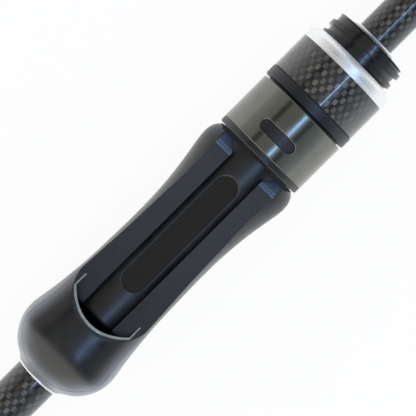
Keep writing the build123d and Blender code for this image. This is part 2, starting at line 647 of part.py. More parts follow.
# ---------------------------------------------------------------- line guides
# place, ring's outer radius, hole radius, height of the ring's centre, whether it has two feet
GUIDES = [
    (860.0, 12.5, 9.8, 33.0, True),
    (1105.0, 8.0, 6.0, 22.0, True),
    (1285.0, 5.0, 3.6, 14.0, False),
    (1430.0, 3.6, 2.5, 10.0, False),
    (1550.0, 3.0, 2.0, 8.0, False),
    (1655.0, 3.0, 2.0, 7.5, False),
    (1745.0, 3.0, 2.0, 7.0, False),
]
HOLDER_WALL = 0.9         # metal round the ceramic ring
LEG_LEAN = 40             # degrees below the ring's centre where the legs leave its holder
FOOT_SINK = 0.4           # the feet are made from inside the blank, which is then cut away


def wire_radius(outer):
    return 0.45 + 0.035 * outer


def leg_reach(outer):
    """Along the rod, from the ring to where its legs meet the blank."""
    return 5.0 + 1.1 * outer


def foot_length(outer):
    return 9.0 + 0.9 * outer


def guide_ring(x, outer, hole, height):
    """Ceramic ring, its mouth rounded on both sides of a short straight land."""
    half = 0.6 + outer * 0.06
    round_off = half * 0.55
    with BuildPart() as ring:
        with BuildSketch(Plane.XZ):
            with BuildLine():
                Polyline(
                    (x - half, height + outer), (x - half, height + hole + round_off),
                    (x - half + round_off, height + hole), (x + half - round_off, height + hole),
                    (x + half, height + hole + round_off), (x + half, height + outer), close=True,
                )
            make_face()
        revolve(axis=Axis((0, 0, height), (1, 0, 0)))
    return ring.part


def guide_foot(end, tip, thickness, half_width):
    """Tapered foot that lies along the top of the blank, from where it meets the legs to its thin tip."""
    low, high = blank_radius(end) - FOOT_SINK, blank_radius(tip) - FOOT_SINK
    with BuildPart() as foot:
        with BuildSketch(Plane.XZ.offset(-half_width)):
            with BuildLine():
                Polyline(
                    (end, low), (end, low + FOOT_SINK + thickness), (tip, high + FOOT_SINK + 0.2),
                    (tip, high), close=True,
                )
            make_face()
        extrude(amount=2 * half_width)
    return foot.part


def guide_frame(x, outer, height, two_feet):
    """Holder round the ring, with round-wire legs down to one or two feet on the blank."""
    wire = wire_radius(outer)
    lean = radians(LEG_LEAN)
    half = 0.5 + 0.045 * outer
    directions = (-1, 1) if two_feet else (1,)
    with BuildPart() as frame:
        with BuildSketch(Plane.XZ):
            with BuildLine():
                Polyline(
                    (x - half, height + outer), (x - half, height + outer + HOLDER_WALL),
                    (x + half, height + outer + HOLDER_WALL), (x + half, height + outer), close=True,
                )
            make_face()
        revolve(axis=Axis((0, 0, height), (1, 0, 0)))
        for direction in directions:
            foot_x = x + direction * leg_reach(outer)
            for side in (-1, 1):
                holder_r = outer + HOLDER_WALL / 2
                top = Vector(x, side * holder_r * cos(lean), height - holder_r * sin(lean))
                bottom = Vector(foot_x, side * 0.5, blank_radius(x) + wire * 0.9)
                with BuildSketch(Plane(origin=top, z_dir=bottom - top)):
                    Circle(wire)
                extrude(amount=(bottom - top).length + FOOT_SINK)
            foot_tip = foot_x + direction * foot_length(outer)
            add(guide_foot(foot_x - direction, foot_tip, 2 * wire, wire + 0.5))
        add(butt_solid if x < FERRULE_X else tip_solid, mode=Mode.SUBTRACT)
        add(guide_ring(x, outer, outer - 1, height), mode=Mode.SUBTRACT)
    return frame.part


def guide_wraps(x, outer, two_feet, frame):
    """Thread bands that bind a guide's feet to the blank."""
    wire = wire_radius(outer)
    directions = (-1, 1) if two_feet else (1,)
    with BuildPart() as bands:
        for direction in directions:
            near = x + direction * (leg_reach(outer) + 1.2)
            far = x + direction * (leg_reach(outer) + foot_length(outer) + 3.5)
            add(wrap(min(near, far), max(near, far), wire + 0.3, wire * 0.8))
        add(frame, mode=Mode.SUBTRACT)
    return bands.part


for number, (x, outer, hole, height, two_feet) in enumerate(GUIDES, 1):
    frame = guide_frame(x, outer, height, two_feet)
    save(frame, f"guide_{number}_frame")
    save(guide_ring(x, outer, hole, height), f"guide_{number}_ring")
    save(guide_wraps(x, outer, two_feet, frame), f"guide_{number}_wrap")

# ---------------------------------------------------------------- tip-top
TOP_X = ROD_LENGTH - 1.4
TOP_OUTER = 3.0
TOP_HOLE = 2.0
TOP_HEIGHT = 4.6
TOP_WALL = 0.7
TOP_HALF = 0.65           # half the width of the ring's holder
TOP_WIRE_R = 0.5
TOP_TUBE_START = TIP_BLANK_END - 9.0
TOP_TUBE_R = 1.35
STRUT_HALF = 0.6          # the strut between the tube and the ring

with BuildPart() as tip_top_frame:
    add(turned([
        (TOP_TUBE_START, 0), (TOP_TUBE_START, TOP_TUBE_R), (TIP_BLANK_END + 0.6, TOP_TUBE_R),
        (TIP_BLANK_END + 1.2, TOP_TUBE_R - 0.5), (TIP_BLANK_END + 1.2, 0),
    ]))
    with BuildSketch(Plane.XZ):
        with BuildLine():
            Polyline(
                (TOP_X - TOP_HALF, TOP_HEIGHT + TOP_OUTER),
                (TOP_X - TOP_HALF, TOP_HEIGHT + TOP_OUTER + TOP_WALL),
                (TOP_X + TOP_HALF, TOP_HEIGHT + TOP_OUTER + TOP_WALL),
                (TOP_X + TOP_HALF, TOP_HEIGHT + TOP_OUTER), close=True,
            )
        make_face()
    revolve(axis=Axis((0, 0, TOP_HEIGHT), (1, 0, 0)))
    for side in (-1, 1):
        top = Vector(TOP_X, side * (TOP_OUTER + TOP_WALL / 2), TOP_HEIGHT)
        bottom = Vector(TIP_BLANK_END - 5, side * 0.9, 0.5)
        with BuildSketch(Plane(origin=bottom, z_dir=top - bottom)):
            Circle(TOP_WIRE_R)
        extrude(amount=(top - bottom).length)
    with BuildSketch(Plane.XZ.offset(-STRUT_HALF)):
        with BuildLine():
            Polyline(
                (TIP_BLANK_END - 1, 0.5), (TIP_BLANK_END + 1.1, 0.5), (TOP_X + 0.3, 0.9),
                (TOP_X + 0.3, 1.5), (TOP_X - 0.5, 1.5), close=True,
            )
        make_face()
    extrude(amount=2 * STRUT_HALF)
    add(tip_solid, mode=Mode.SUBTRACT)
    add(guide_ring(TOP_X, TOP_OUTER, TOP_OUTER - 1, TOP_HEIGHT), mode=Mode.SUBTRACT)
save(tip_top_frame.part, "tip_top_frame")
save(guide_ring(TOP_X, TOP_OUTER, TOP_HOLE, TOP_HEIGHT), "tip_top_ring")
save(wrap(TOP_TUBE_START - 6, TOP_TUBE_START, 0.35), "tip_top_wrap")
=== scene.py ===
# %% [markdown]
# # A spinning rod, seen close at its reel seat
#
# A spinning rod is nearly two metres of thin carbon tube, and most of what a hand ever touches is one
# short stretch of it: the reel seat. A reel's foot lies on two rails. Its rear toe goes into a fixed hood,
# and its front toe into a sliding hood that a lock nut drives along a threaded barrel. This lesson dresses
# that rod, piece by piece. The measured model comes first and is never changed: it fixes where everything
# is. Every visible piece is either that model's own node with a finish of its own, or a finer piece that
# stands in for one node.

from math import cos, pi, radians, sin

import bmesh
import bpy
from mathutils import Matrix, Vector


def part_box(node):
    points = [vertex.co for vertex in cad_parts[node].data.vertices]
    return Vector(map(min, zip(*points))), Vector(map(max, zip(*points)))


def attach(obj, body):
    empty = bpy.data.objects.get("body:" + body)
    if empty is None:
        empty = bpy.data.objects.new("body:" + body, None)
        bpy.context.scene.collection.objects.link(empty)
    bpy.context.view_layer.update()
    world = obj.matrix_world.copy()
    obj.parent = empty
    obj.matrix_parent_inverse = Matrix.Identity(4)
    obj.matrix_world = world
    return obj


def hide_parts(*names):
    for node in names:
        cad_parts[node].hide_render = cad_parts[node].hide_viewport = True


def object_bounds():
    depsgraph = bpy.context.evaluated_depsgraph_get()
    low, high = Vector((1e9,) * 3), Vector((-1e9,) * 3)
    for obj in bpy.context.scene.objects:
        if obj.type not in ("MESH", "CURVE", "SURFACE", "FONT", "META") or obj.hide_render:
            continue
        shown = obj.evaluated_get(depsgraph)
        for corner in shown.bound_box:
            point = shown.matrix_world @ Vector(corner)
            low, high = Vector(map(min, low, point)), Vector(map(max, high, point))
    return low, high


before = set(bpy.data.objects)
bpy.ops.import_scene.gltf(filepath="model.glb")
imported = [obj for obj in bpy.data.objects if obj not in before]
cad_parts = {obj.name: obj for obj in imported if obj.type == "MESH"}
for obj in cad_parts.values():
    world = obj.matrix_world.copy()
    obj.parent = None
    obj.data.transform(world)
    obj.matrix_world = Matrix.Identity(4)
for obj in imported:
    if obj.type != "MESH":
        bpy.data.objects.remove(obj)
cad_low, cad_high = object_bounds()
MM = 0.001
print("nodes", len(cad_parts), "length in mm", round((cad_high[0] - cad_low[0]) / MM, 1))

# %% [markdown]
# ## The camera
# The rod lies along X and the reel side faces up, so a camera above the seat looks straight down on it. A
# long lens from half a metre away shows the seat almost without perspective. The view is turned so that
# the rod runs from the lower left to the upper right, and it aims at the middle of the seat.

# %% The camera above the reel seat
FRAME_SIDE = 36.0                # sensor width, mm
LENS = 190.3                     # focal length, mm
ROD_ANGLE = radians(44.94)       # how far the rod is turned in the view
CAMERA_HEIGHT = 525 * MM
CAMERA_AHEAD = 75.1 * MM         # in front of the seat's rear end
CAMERA_ASIDE = 0.17 * MM
AIM_AHEAD = 57.0 * MM
AIM_ASIDE = -0.33 * MM
seat_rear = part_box("seat_body")[0].x
camera_place = Vector((seat_rear + CAMERA_AHEAD, CAMERA_ASIDE, CAMERA_HEIGHT))
camera_aim = Vector((seat_rear + AIM_AHEAD, AIM_ASIDE, 0.0))

camera_data = bpy.data.cameras.new("camera")
camera_data.sensor_width = FRAME_SIDE
camera_data.lens = LENS
camera_data.clip_start = 10 * MM
camera = bpy.data.objects.new("camera", camera_data)
bpy.context.scene.collection.objects.link(camera)

backward = (camera_place - camera_aim).normalized()
rightward = Vector((cos(ROD_ANGLE), -sin(ROD_ANGLE), 0.0))
rightward = (rightward - rightward.dot(backward) * backward).normalized()
upward = backward.cross(rightward)
camera_turn = Matrix((rightward, upward, backward)).transposed().to_4x4()
camera.matrix_world = Matrix.Translation(camera_place) @ camera_turn
bpy.context.scene.camera = camera
bpy.context.scene.view_settings.view_transform = "Standard"
print("camera at", tuple(round(v, 4) for v in camera_place))

# %% [markdown]
# ## Small helpers for shaders
# A finish here is a few texture nodes that feed one Principled shader. Writing every node by hand would
# bury the idea, so one helper makes a node, sets its plain values and joins what is passed to its sockets.
# A number is a value and a socket is a link, which keeps each finish down to the lines that say what it
# looks like.

# %% Make nodes and work with their values
def fill(socket, value):
    """Links another node's output to the socket, or sets it to a plain value."""
    if isinstance(value, bpy.types.NodeSocket):
        socket.id_data.links.new(value, socket)
    else:
        socket.default_value = value


def add_node(tree, kind, inputs=None, **settings):
    """A node of that kind; inputs maps a socket's name or number to a value or to another node's output."""
    made = tree.nodes.new(kind)
    for name, value in settings.items():
        setattr(made, name, value)
    for socket, value in (inputs or {}).items():
        fill(made.inputs[socket], value)
    return made


def maths(tree, operation, *values):
    return add_node(tree, "ShaderNodeMath", dict(enumerate(values)), operation=operation).outputs[0]


def ranged(tree, value, low, high, to_low=0.0, to_high=1.0, smooth=False):
    """Value stretched from one range to another and held inside it."""
    inputs = {"Value": value, "From Min": low, "From Max": high, "To Min": to_low, "To Max": to_high}
    kind = "SMOOTHSTEP" if smooth else "LINEAR"
    return add_node(tree, "ShaderNodeMapRange", inputs, interpolation_type=kind).outputs[0]


def between(tree, value, start, end, soft):
    """1 where the value lies between start and end, 0 outside, with soft edges."""
    after = ranged(tree, value, start - soft, start + soft)
    before = ranged(tree, value, end + soft, end - soft)
    return maths(tree, "MULTIPLY", after, before)


def arch(tree, value):
    """0 at both ends of 0 to 1 and 1 in the middle."""
    return maths(tree, "MULTIPLY", maths(tree, "MULTIPLY", value, maths(tree, "SUBTRACT", 1.0, value)), 4.0)


def blended(tree, factor, first, second):
    """Colour between two others, each a socket or three plain numbers."""
    first, second = [c if isinstance(c, bpy.types.NodeSocket) else (*c, 1.0) for c in (first, second)]
    return add_node(tree, "ShaderNodeMix", {0: factor, 6: first, 7: second}, data_type="RGBA").outputs[2]


def object_place(tree):
    return add_node(tree, "ShaderNodeTexCoord").outputs["Object"]


def noise(tree, kind, dimensions, **inputs):
    """A noise texture's node, in one or three dimensions."""
    return add_node(tree, kind, inputs, noise_dimensions=dimensions)


print("node helpers ready")


# %% Make groups and finishes
def group(name, inputs, outputs):
    """An empty node group with these float inputs and outputs; returns the tree and its two ends."""
    tree = bpy.data.node_groups.new(name, "ShaderNodeTree")
    for label, value in inputs.items():
        socket = tree.interface.new_socket(name=label, in_out="INPUT", socket_type="NodeSocketFloat")
        socket.default_value = value
    for label in outputs:
        tree.interface.new_socket(name=label, in_out="OUTPUT", socket_type="NodeSocketFloat")
    return tree, tree.nodes.new("NodeGroupInput").outputs, tree.nodes.new("NodeGroupOutput").inputs


def place_group(tree, name, **values):
    """The outputs of a group placed in a tree, with these values on its inputs."""
    placed = tree.nodes.new("ShaderNodeGroup")
    placed.node_tree = bpy.data.node_groups[name]
    for label, value in values.items():
        fill(placed.inputs[label.replace("_", " ")], value)
    return placed.outputs


def new_finish(name, **sockets):
    """A material with one Principled shader; values go on its own sockets."""
    material = bpy.data.materials.new(name)
    material.use_nodes = True
    shader = material.node_tree.nodes["Principled BSDF"]
    for label, value in sockets.items():
        shader.inputs[label.replace("_", " ")].default_value = value
    return material, material.node_tree, shader


def drive(shader, label, output):
    fill(shader.inputs[label], output)


def toned(tree, shader, factor, dark, light):
    """Base colour between two tones."""
    drive(shader, "Base Color", blended(tree, factor, dark, light))


def glossed(tree, shader, factor, smooth, rough):
    """Roughness between two values."""
    drive(shader, "Roughness", ranged(tree, factor, 0.0, 1.0, smooth, rough))


def bump(tree, shader, height, depth, strength):
    """Relief of that depth in metres, from a height between 0 and 1."""
    inputs = {"Height": height, "Distance": depth, "Strength": strength}
    drive(shader, "Normal", add_node(tree, "ShaderNodeBump", inputs).outputs[0])


FINISHES = {}
print("finish helpers ready")

# %% [markdown]
# ## Patterns that several finishes share
# Everything on a rod is wound, turned or woven round one axis, so most patterns need the same two things:
# how far along the rod a point is, and how far round it. The first group works both out from the object's
# own coordinates, and the woven, turned and wound ones stand on it. They are groups, not copies, so that a
# change to the weave reaches each woven piece.

# %% Where a point is along and round the rod
tree, enter, leave = group("round_the_rod", {}, ["Along", "Round"])
place = add_node(tree, "ShaderNodeSeparateXYZ", {0: object_place(tree)}).outputs
turn = maths(tree, "ARCTAN2", place["Y"], place["Z"])
fill(leave["Along"], place["X"])
fill(leave["Round"], maths(tree, "ADD", maths(tree, "DIVIDE", turn, 2 * pi), 0.5))
print("group", tree.name)

# %% Woven cloth: flat tows that go over one and under one
tree, enter, leave = group("woven_cloth", {"Cells Round": 40.0, "Cell": MM}, ["Warp", "Height", "Tone"])
rod_place = place_group(tree, "round_the_rod")
u = maths(tree, "MULTIPLY", rod_place["Round"], enter["Cells Round"])
v = maths(tree, "DIVIDE", rod_place["Along"], enter["Cell"])
column, row = maths(tree, "FLOOR", u), maths(tree, "FLOOR", v)
parity = maths(tree, "FLOORED_MODULO", maths(tree, "ADD", column, row), 2.0)
swell_u = maths(tree, "POWER", arch(tree, maths(tree, "FRACT", u)), 0.5)
swell_v = maths(tree, "POWER", arch(tree, maths(tree, "FRACT", v)), 0.5)
cell_name = add_node(tree, "ShaderNodeCombineXYZ", {0: column, 1: row}).outputs[0]
fill(leave["Warp"], maths(tree, "LESS_THAN", parity, 0.5))
fill(leave["Height"], maths(tree, "MULTIPLY", swell_u, swell_v))
fill(leave["Tone"], noise(tree, "ShaderNodeTexWhiteNoise", "3D", Vector=cell_name).outputs["Value"])
print("group", tree.name)

# %% Fine lines left by a lathe, and thread wound side by side
tree, enter, leave = group("lathe_lines", {"Pitch": 0.1 * MM}, ["Height", "Tone"])
turns = maths(tree, "DIVIDE", place_group(tree, "round_the_rod")["Along"], enter["Pitch"])
broad_turns = maths(tree, "MULTIPLY", turns, 0.13)
fill(leave["Height"], noise(tree, "ShaderNodeTexNoise", "1D", W=turns, Scale=1.0, Detail=2.0).outputs[0])
fill(leave["Tone"], noise(tree, "ShaderNodeTexNoise", "1D", W=broad_turns, Scale=1.0, Detail=1.0).outputs[0])

tree, enter, leave = group("wound_thread", {"Pitch": 0.18 * MM}, ["Height", "Tone"])
rod_place = place_group(tree, "round_the_rod")
turns = maths(tree, "ADD", maths(tree, "DIVIDE", rod_place["Along"], enter["Pitch"]), rod_place["Round"])
strand = maths(tree, "FLOOR", turns)
fill(leave["Height"], maths(tree, "POWER", arch(tree, maths(tree, "FRACT", turns)), 0.5))
fill(leave["Tone"], noise(tree, "ShaderNodeTexWhiteNoise", "1D", W=strand).outputs["Value"])
print("groups lathe_lines and wound_thread")

# %% Grain of a moulded or foamed surface, and the faint marks of handling
tree, enter, leave = group("fine_grain", {"Grain": 0.25 * MM}, ["Height", "Speck"])
frequency = maths(tree, "DIVIDE", 1.0, enter["Grain"])
grain_inputs = {"Vector": object_place(tree), "Scale": frequency, "Detail": 3.0, "Roughness": 0.6}
speck_inputs = {"Vector": object_place(tree), "Scale": maths(tree, "MULTIPLY", frequency, 0.8)}
specks = add_node(tree, "ShaderNodeTexVoronoi", speck_inputs)
fill(leave["Height"], add_node(tree, "ShaderNodeTexNoise", grain_inputs).outputs[0])
fill(leave["Speck"], ranged(tree, specks.outputs["Distance"], 0.28, 0.1))

tree, enter, leave = group("handling", {"Size": 12 * MM}, ["Marks"])
smudge_inputs = {
    "Vector": object_place(tree), "Scale": maths(tree, "DIVIDE", 1.0, enter["Size"]), "Detail": 5.0,
    "Roughness": 0.62, "Distortion": 0.6,
}
smudge = add_node(tree, "ShaderNodeTexNoise", smudge_inputs).outputs[0]
fill(leave["Marks"], ranged(tree, smudge, 0.38, 0.68, smooth=True))
print("groups fine_grain and handling")

# %% [markdown]
# ## Moulded plastic
# The seat is injection-moulded nylon with short carbon fibre in it: nearly black, a little blue, satin
# where the mould was polished and flat where the reel's foot rests. The fibres show as a faint speckle.
# One finish covers it all, and masks from the surface's own place say where it changes. A pale sheen is
# painted into the colour on the sides of the rear swelling, where they turn away: a painted reflection. The
# flat top of the rails is rougher, and painted darker towards the rear as shade from the swelling. The ramps
# at the rails' front ends carry a painted blue reflection with two painted highlight lines, the thread is
# polished, and the floor of the pocket behind the liner's edge is painted black as the shade under the
# hood's lip, so it gives nothing back.

# %% Where the seat's finish changes
# Along the rod, from the seat's rear end:
# Where the pocket's painted shade lies, behind the liner's edge
POCKET_SHADE = (9.0 * MM, 20.6 * MM)
# Where the painted sheen of the rear swelling fades out
PAINTED_SHEEN_FADES = (14.0 * MM, 26.0 * MM)
# Where the painted shade on the rails fades out
RAIL_SHADE = (22.0 * MM, 62.0 * MM)
RAMP = (69.5 * MM, 72.9 * MM)
# Two lines across the ramps that carry painted highlights
RAMP_GLINT_LINES = ((69.6 * MM, 69.9 * MM), (70.4 * MM, 70.7 * MM))
POLISHED_FROM = 103.0 * MM
# To each side of the rod's middle plane, and in height from the rails:
RAIL_SIDES = (4.8 * MM, 9.4 * MM)
RAMP_DROP = 1.1 * MM
POCKET_SHADE_HEIGHT = 2.0 * MM
rail_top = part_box("fixed_hood_liner")[0].z + 0.1 * MM

material, tree, shader = new_finish("moulded_seat", IOR=1.6)
place = add_node(tree, "ShaderNodeSeparateXYZ", {0: object_place(tree)}).outputs
along = maths(tree, "SUBTRACT", place["X"], seat_rear)
aside = maths(tree, "ABSOLUTE", place["Y"])
near_rail = maths(tree, "ABSOLUTE", maths(tree, "SUBTRACT", place["Z"], rail_top))
flat = ranged(tree, near_rail, 0.12 * MM, 0.04 * MM)

# Painted reflection: a mask of the ramps at the rails' front ends, and of two lines across them for painted
# highlights
ramp_floor = rail_top - RAMP_DROP
over_floor = ranged(tree, place["Z"], ramp_floor - 0.02 * MM, ramp_floor + 0.02 * MM)
over_rails = maths(tree, "MULTIPLY", over_floor, between(tree, aside, *RAIL_SIDES, 0.1 * MM))
ramp = maths(tree, "MULTIPLY", over_rails, between(tree, along, *RAMP, 0.05 * MM))
lines = maths(tree, "ADD", *[between(tree, along, *line, 0.1 * MM) for line in RAMP_GLINT_LINES])

# Painted shade: between the rails' outer edges, low down in the pocket behind the liner's edge, the colour
# is painted black
within = ranged(tree, aside, RAIL_SIDES[1] + 0.1 * MM, RAIL_SIDES[1] - 0.1 * MM)
low_down = between(tree, place["Z"], 0.0, rail_top + POCKET_SHADE_HEIGHT, 0.1 * MM)
inside = maths(tree, "MULTIPLY", within, low_down)
pocket = maths(tree, "MULTIPLY", inside, between(tree, along, *POCKET_SHADE, 0.5 * MM))
print("masks of the seat, from its rear end in mm:", [round(v / MM, 1) for v in (*POCKET_SHADE, *RAMP)])

# %% Finish of the seat
grain = place_group(tree, "fine_grain", Grain=0.22 * MM)
marks = place_group(tree, "handling", Size=9 * MM)["Marks"]
# Painted sheen: a pale colour painted in where the rear swelling turns away from the view, faded out along
# the seat
turned_away = add_node(tree, "ShaderNodeLayerWeight", {"Blend": 0.5}).outputs["Facing"]
sheen = ranged(tree, turned_away, 0.20, 0.80, smooth=True)
sheen = maths(tree, "MULTIPLY", sheen, ranged(tree, along, *PAINTED_SHEEN_FADES, 1.0, 0.1))
moulded = blended(tree, marks, (0.0045, 0.0050, 0.0062), (0.0085, 0.0090, 0.0105))
body = blended(tree, sheen, moulded, (0.32, 0.34, 0.38))
# Painted shade: the rails' speckled top goes from a lit tone at the front to a darker tone towards the rear,
# where the swelling shades it
lit_rail = blended(tree, grain["Speck"], (0.018, 0.020, 0.026), (0.075, 0.083, 0.105))
shaded_rail = blended(tree, grain["Speck"], (0.004, 0.005, 0.007), (0.030, 0.033, 0.040))
rails = blended(tree, ranged(tree, along, *RAIL_SHADE), shaded_rail, lit_rail)
# The ramps' painted blue reflection, with the two painted highlight lines brighter
painted_ramp_glint = blended(tree, lines, (0.050, 0.072, 0.130), (0.200, 0.280, 0.420))
plain = blended(tree, ramp, blended(tree, flat, body, rails), painted_ramp_glint)
# The pocket's painted shade: black, and metallic, so it gives back no diffuse light
toned(tree, shader, pocket, plain, (0.0015, 0.0015, 0.0015))
drive(shader, "Metallic", pocket)

satin = ranged(tree, marks, 0.0, 1.0, 0.27, 0.36)
polish = ranged(tree, along, POLISHED_FROM - 0.5 * MM, POLISHED_FROM + 0.5 * MM, 0.0, -0.13)
matt = maths(tree, "MULTIPLY", maths(tree, "MAXIMUM", flat, pocket), 0.3)
drive(shader, "Roughness", maths(tree, "ADD", maths(tree, "ADD", satin, polish), matt))
bump(tree, shader, grain["Height"], 0.012 * MM, 0.5)
FINISHES["seat_plastic"] = material
print("finish", material.name)

# %% Finish of the hood's insert and the nut's core
material, tree, shader = new_finish("moulded_black", IOR=1.5)
grain = place_group(tree, "fine_grain", Grain=0.2 * MM)
marks = place_group(tree, "handling", Size=7 * MM)["Marks"]
toned(tree, shader, marks, (0.012, 0.013, 0.016), (0.019, 0.020, 0.023))
glossed(tree, shader, marks, 0.34, 0.44)
bump(tree, shader, grain["Height"], 0.010 * MM, 0.5)
FINISHES["hood_plastic"] = material
print("finish", material.name)

# %% [markdown]
# ## Metals
# The sliding hood is a smoked plating, dark olive grey and nearly a mirror. The rings are bright turned
# aluminium, whose fine lathe lines run round them. The liner of the rear pocket is a paler pressed metal,
# the guides are polished dark steel, and the ring that snaps hood and nut together is plain spring steel.
# A metal is its reflection, so the base colour is how much it gives back, and the roughness says how sharp
# it is. All but the turned one differ only in tone and gloss, so one function makes them.


# %% Smoked plating, turned aluminium, pressed metal and steel
def handled(slot, name, size, dark, light, smooth, rough, **sockets):
    """A finish whose tone and gloss only vary with marks of handling of that size."""
    material, tree, shader = new_finish(name, **sockets)
    marks = place_group(tree, "handling", Size=size)["Marks"]
    toned(tree, shader, marks, dark, light)
    glossed(tree, shader, marks, smooth, rough)
    FINISHES[slot] = material


METALS = [
    ("gunmetal", "smoked_plating", 16 * MM, (0.175, 0.180, 0.160), (0.205, 0.210, 0.188), 0.17, 0.22),
    ("liner_metal", "pale_liner", 3 * MM, (0.38, 0.38, 0.32), (0.48, 0.48, 0.41), 0.24, 0.34),
    ("guide_metal", "smoked_steel", 5 * MM, (0.15, 0.155, 0.16), (0.20, 0.205, 0.21), 0.16, 0.26),
    ("spring_steel", "spring_steel", 3 * MM, (0.42, 0.42, 0.43), (0.52, 0.52, 0.52), 0.25, 0.38),
]
for metal in METALS:
    handled(*metal, Metallic=1.0)

material, tree, shader = new_finish("turned_aluminium", Metallic=1.0)
turned = place_group(tree, "lathe_lines", Pitch=0.09 * MM)
toned(tree, shader, turned["Tone"], (0.93, 0.94, 0.95), (0.98, 0.98, 0.98))
drive(shader, "Roughness", ranged(tree, turned["Tone"], 0.3, 0.7, 0.30, 0.45))
bump(tree, shader, turned["Height"], 0.03 * MM, 0.9)
FINISHES["aluminium"] = material
print("metals ready", sorted(FINISHES))

# %% [markdown]
# ## Carbon cloth and carbon tube
# Under the clear coat of the handle, the lock nut and the front of the blank lies woven cloth. Each tow is
# a flat ribbon of fibres that goes over one and under one, and it shines along its length. So a tow that
# runs along the rod and one that runs round it never look alike, and that shine is painted into the colour:
# one is painted a warm grey as a painted highlight, the other nearly black. Where the surface turns away, a
# grey sheen is painted over both, for the coat's veil. The coat stays smooth over the relief, because only
# the shader's own normal gets the bump. The rest of the blank is plain tape, wound at a slant.


# %% Woven finishes
def woven(slot, name, radius, cell, cell_round):
    """Cloth round a tube of that radius, in whole repeats, under a clear coat."""
    cells_round = 2 * round(pi * radius / cell_round)
    coat = {"Coat_Weight": 1.0, "Coat_Roughness": 0.03, "Coat_IOR": 1.6}
    material, tree, shader = new_finish(name, IOR=1.5, Metallic=0.3, **coat)
    cloth = place_group(tree, "woven_cloth", Cells_Round=float(cells_round), Cell=cell)
    # Painted reflection: the tows along the rod are painted a lit warm grey, the tows round it nearly black
    lengthwise = blended(tree, cloth["Tone"], (0.030, 0.027, 0.023), (0.160, 0.142, 0.118))
    crosswise = blended(tree, cloth["Tone"], (0.0010, 0.0010, 0.0015), (0.007, 0.007, 0.009))
    risen = ranged(tree, cloth["Height"], 0.15, 0.50, smooth=True)
    cloth_colour = blended(tree, maths(tree, "MULTIPLY", cloth["Warp"], risen), crosswise, lengthwise)
    # Painted sheen: a grey painted over the cloth where the surface turns away
    turned_away = add_node(tree, "ShaderNodeLayerWeight", {"Blend": 0.5}).outputs["Facing"]
    painted_coat_sheen = ranged(tree, turned_away, 0.05, 0.35, 0.0, 0.65)
    toned(tree, shader, painted_coat_sheen, cloth_colour, (0.060, 0.062, 0.068))
    glossed(tree, shader, cloth["Tone"], 0.30, 0.46)
    bump(tree, shader, cloth["Height"], 0.06 * MM, 0.8)
    FINISHES[slot] = material
    print(name, "cells round", cells_round)


nut_sleeve_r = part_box("nut_sleeve")[1].y
handle_tube_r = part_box("handle_tube")[1].y
front_cloth_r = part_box("woven_sleeve")[1].y
woven("nut_cloth", "woven_cloth_nut", nut_sleeve_r, 1.5 * MM, 1.1 * MM)
woven("handle_cloth", "woven_cloth_handle", handle_tube_r, 1.5 * MM, 1.1 * MM)
woven("front_cloth", "woven_cloth_front", front_cloth_r, 1.3 * MM, 1.0 * MM)

# %% The plain blank
TAPE_PITCH = 4.2 * MM
coat = {"Coat_Weight": 1.0, "Coat_Roughness": 0.06, "Coat_IOR": 1.5}
material, tree, shader = new_finish("coated_blank", IOR=1.5, **coat)
rod_place = place_group(tree, "round_the_rod")
wound = maths(tree, "ADD", maths(tree, "DIVIDE", rod_place["Along"], TAPE_PITCH), rod_place["Round"])
tape = arch(tree, maths(tree, "FRACT", wound))
marks = place_group(tree, "handling", Size=20 * MM)["Marks"]
toned(tree, shader, tape, (0.016, 0.017, 0.019), (0.030, 0.031, 0.034))
glossed(tree, shader, marks, 0.30, 0.42)
bump(tree, shader, tape, 0.03 * MM, 0.5)
FINISHES["blank_carbon"] = material
print("finish", material.name)

# %% [markdown]
# ## Foam, thread, ceramic and gloss
# The grip is closed-cell foam, black-grey and dull, with cells just large enough to see; the arbors inside
# the seat are a paler foam. The guides are bound down with fine thread under resin: a glossy coat over a
# ribbed base. The guide rings are polished ceramic, and the lozenge let into the seat is a plain piece of
# glossy black, left bare.

# %% The remaining finishes
material, tree, shader = new_finish("grip_foam", IOR=1.45, Specular_IOR_Level=0.3)
cells = place_group(tree, "fine_grain", Grain=0.55 * MM)
marks = place_group(tree, "handling", Size=14 * MM)["Marks"]
foam = blended(tree, cells["Height"], (0.010, 0.010, 0.011), (0.034, 0.034, 0.036))
toned(tree, shader, cells["Speck"], foam, (0.006, 0.006, 0.007))
glossed(tree, shader, marks, 0.78, 0.92)
bump(tree, shader, cells["Height"], 0.10 * MM, 0.7)
FINISHES["grip_foam"] = material

material, tree, shader = new_finish("arbor_foam", IOR=1.45)
cells = place_group(tree, "fine_grain", Grain=0.5 * MM)
toned(tree, shader, cells["Height"], (0.42, 0.40, 0.35), (0.60, 0.58, 0.52))
glossed(tree, shader, cells["Height"], 0.80, 0.95)
FINISHES["arbor_foam"] = material

material, tree, shader = new_finish("thread_under_resin", IOR=1.5, Coat_Weight=1.0, Coat_Roughness=0.04)
thread = place_group(tree, "wound_thread", Pitch=0.2 * MM)
toned(tree, shader, thread["Tone"], (0.008, 0.009, 0.012), (0.020, 0.022, 0.028))
glossed(tree, shader, thread["Tone"], 0.32, 0.45)
bump(tree, shader, thread["Height"], 0.03 * MM, 0.6)
FINISHES["thread_wrap"] = material

handled(
    "guide_ceramic", "polished_ceramic", 4 * MM, (0.030, 0.032, 0.036), (0.040, 0.042, 0.046), 0.04, 0.09,
    IOR=1.9,
)
handled(
    "window_gloss", "gloss_black", 6 * MM, (0.0035, 0.0048, 0.0042), (0.0055, 0.0070, 0.0062), 0.06, 0.12,
    IOR=1.52,
)
print("finishes", sorted(FINISHES))

